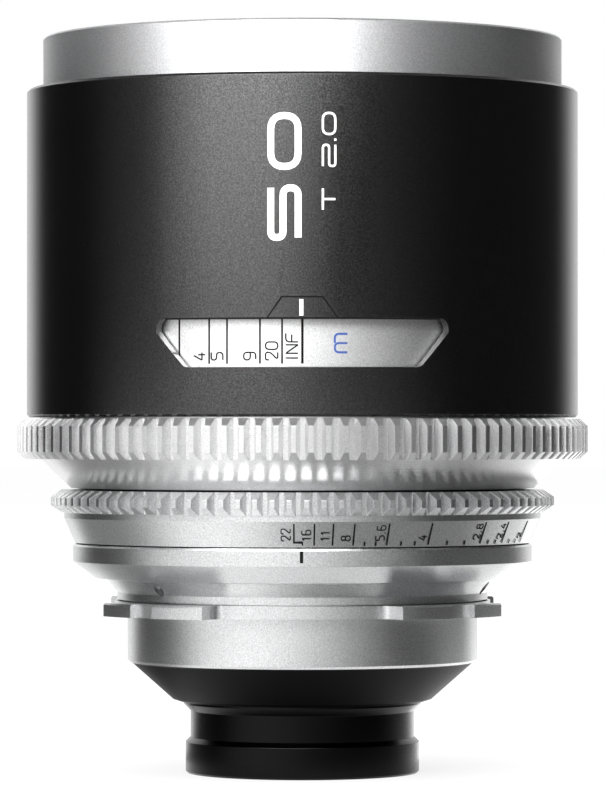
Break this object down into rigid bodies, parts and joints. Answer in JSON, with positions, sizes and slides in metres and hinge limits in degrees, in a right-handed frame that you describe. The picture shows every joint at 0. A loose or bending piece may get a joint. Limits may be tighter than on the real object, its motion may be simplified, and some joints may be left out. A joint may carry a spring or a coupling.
{
  "type": "cinema prime lens",
  "caption": "Cinema prime lens: fixed black barrel with a focus window, toothed focus and iris rings, a lobed rear mount, sliding optics and a leaf iris.",
  "frame": {"origin": "centre of the mount flange's seat plane, on the optical axis", "axes": "+Z along the optical axis towards the front of the lens; the index marks face -Y"},
  "size_m": [0.088, 0.088, 0.1131],
  "materials": {
    "black_anodised": "fine satin black anodised",
    "satin_aluminium": "turned and bead blasted, clear anodised",
    "coated_glass": "polished with an anti-reflection coating",
    "hardened_steel": "ground",
    "bearing_bronze": "turned",
    "slide_plastic": "matt",
    "blackened_blade": "blackened, matt"
  },
  "bodies": {
    "lens_barrel": {"pl_mount": "satin_aluminium", "pl_shims": "bearing_bronze", "pl_mount_screws": "hardened_steel", "rear_housing": "satin_aluminium", "housing_set_screws": "hardened_steel", "rear_baffle": "black_anodised", "main_barrel": "black_anodised", "focus_stop_screw": "hardened_steel", "thrust_washer": "slide_plastic", "barrel_lock_ring": "satin_aluminium", "outer_sleeve": "black_anodised", "index_plate": "black_anodised", "sleeve_set_screws": "hardened_steel", "front_ring": "satin_aluminium", "front_baffle": "black_anodised"},
    "focus_assembly": {"cam_barrel": "satin_aluminium", "focus_ring": "satin_aluminium", "focus_ring_screws": "hardened_steel", "scale_drum": "satin_aluminium", "scale_drum_screws": "hardened_steel"},
    "iris_ring_assembly": {"iris_ring": "satin_aluminium", "iris_ring_liner": "bearing_bronze", "iris_drive_pin": "hardened_steel"},
    "optics_carriage": {"lens_carriage": "black_anodised", "cam_follower_pins": "hardened_steel", "cam_follower_sleeves": "bearing_bronze", "front_cell": "black_anodised", "front_element": "coated_glass", "second_element": "coated_glass", "front_doublet_crown": "coated_glass", "front_doublet_flint": "coated_glass", "front_retaining_ring": "black_anodised", "second_lock_ring": "black_anodised", "front_spacer_ring": "black_anodised", "iris_base_plate": "black_anodised", "iris_retaining_ring": "black_anodised", "rear_cell": "black_anodised", "rear_doublet_flint": "coated_glass", "rear_doublet_crown": "coated_glass", "rear_doublet_lock_ring": "black_anodised", "rear_positive_element": "coated_glass", "rear_spacer": "black_anodised", "rear_element": "coated_glass", "rear_retaining_ring": "black_anodised"},
    "iris_drive": {"iris_cam_plate": "hardened_steel", "iris_fork": "hardened_steel"},
    "blade_1": {"iris_blade_1": "blackened_blade"},
    "blade_2": {"iris_blade_2": "blackened_blade"},
    "blade_3": {"iris_blade_3": "blackened_blade"},
    "blade_4": {"iris_blade_4": "blackened_blade"},
    "blade_5": {"iris_blade_5": "blackened_blade"},
    "blade_6": {"iris_blade_6": "blackened_blade"},
    "blade_7": {"iris_blade_7": "blackened_blade"},
    "blade_8": {"iris_blade_8": "blackened_blade"},
    "blade_9": {"iris_blade_9": "blackened_blade"}
  },
  "joints": [
    {"name": "focus_turn", "type": "hinge", "parent": "lens_barrel", "child": "focus_assembly", "pos_m": [0, 0, 0.03], "axis": [0, 0, 1], "range_deg": [0, 200]},
    {"name": "carriage_slide", "type": "slide", "parent": "lens_barrel", "child": "optics_carriage", "axis": [0, 0, 1], "range_m": [0, 0.00696]},
    {"name": "iris_turn", "type": "hinge", "parent": "lens_barrel", "child": "iris_ring_assembly", "pos_m": [0, 0, 0.015], "axis": [0, 0, 1], "range_deg": [-69, 0]},
    {"name": "iris_plate_turn", "type": "hinge", "parent": "optics_carriage", "child": "iris_drive", "pos_m": [0, 0, 0.025], "axis": [0, 0, 1], "range_deg": [-69, 0]},
    {"name": "blade_1_swing", "type": "hinge", "parent": "optics_carriage", "child": "blade_1", "pos_m": [0.023, 0, 0.027], "axis": [0, 0, 1], "range_deg": [-30.8, 0]},
    {"name": "blade_2_swing", "type": "hinge", "parent": "optics_carriage", "child": "blade_2", "pos_m": [0.01762, 0.01478, 0.027], "axis": [0, 0, 1], "range_deg": [-30.8, 0]},
    {"name": "blade_3_swing", "type": "hinge", "parent": "optics_carriage", "child": "blade_3", "pos_m": [0.00399, 0.02265, 0.027], "axis": [0, 0, 1], "range_deg": [-30.8, 0]},
    {"name": "blade_4_swing", "type": "hinge", "parent": "optics_carriage", "child": "blade_4", "pos_m": [-0.0115, 0.01992, 0.027], "axis": [0, 0, 1], "range_deg": [-30.8, 0]},
    {"name": "blade_5_swing", "type": "hinge", "parent": "optics_carriage", "child": "blade_5", "pos_m": [-0.02161, 0.00787, 0.027], "axis": [0, 0, 1], "range_deg": [-30.8, 0]},
    {"name": "blade_6_swing", "type": "hinge", "parent": "optics_carriage", "child": "blade_6", "pos_m": [-0.02161, -0.00787, 0.027], "axis": [0, 0, 1], "range_deg": [-30.8, 0]},
    {"name": "blade_7_swing", "type": "hinge", "parent": "optics_carriage", "child": "blade_7", "pos_m": [-0.0115, -0.01992, 0.027], "axis": [0, 0, 1], "range_deg": [-30.8, 0]},
    {"name": "blade_8_swing", "type": "hinge", "parent": "optics_carriage", "child": "blade_8", "pos_m": [0.00399, -0.02265, 0.027], "axis": [0, 0, 1], "range_deg": [-30.8, 0]},
    {"name": "blade_9_swing", "type": "hinge", "parent": "optics_carriage", "child": "blade_9", "pos_m": [0.01762, -0.01478, 0.027], "axis": [0, 0, 1], "range_deg": [-30.8, 0]}
  ],
  "couplings": [
    {"joint": "carriage_slide", "follows": "focus_turn", "m_per_rad": 0.001991},
    {"joint": "iris_plate_turn", "follows": "iris_turn", "ratio": 1},
    {"joint": "blade_1_swing", "follows": "iris_turn", "ratio": 0.44637},
    {"joint": "blade_2_swing", "follows": "iris_turn", "ratio": 0.44637},
    {"joint": "blade_3_swing", "follows": "iris_turn", "ratio": 0.44637},
    {"joint": "blade_4_swing", "follows": "iris_turn", "ratio": 0.44637},
    {"joint": "blade_5_swing", "follows": "iris_turn", "ratio": 0.44637},
    {"joint": "blade_6_swing", "follows": "iris_turn", "ratio": 0.44637},
    {"joint": "blade_7_swing", "follows": "iris_turn", "ratio": 0.44637},
    {"joint": "blade_8_swing", "follows": "iris_turn", "ratio": 0.44637},
    {"joint": "blade_9_swing", "follows": "iris_turn", "ratio": 0.44637}
  ]
}
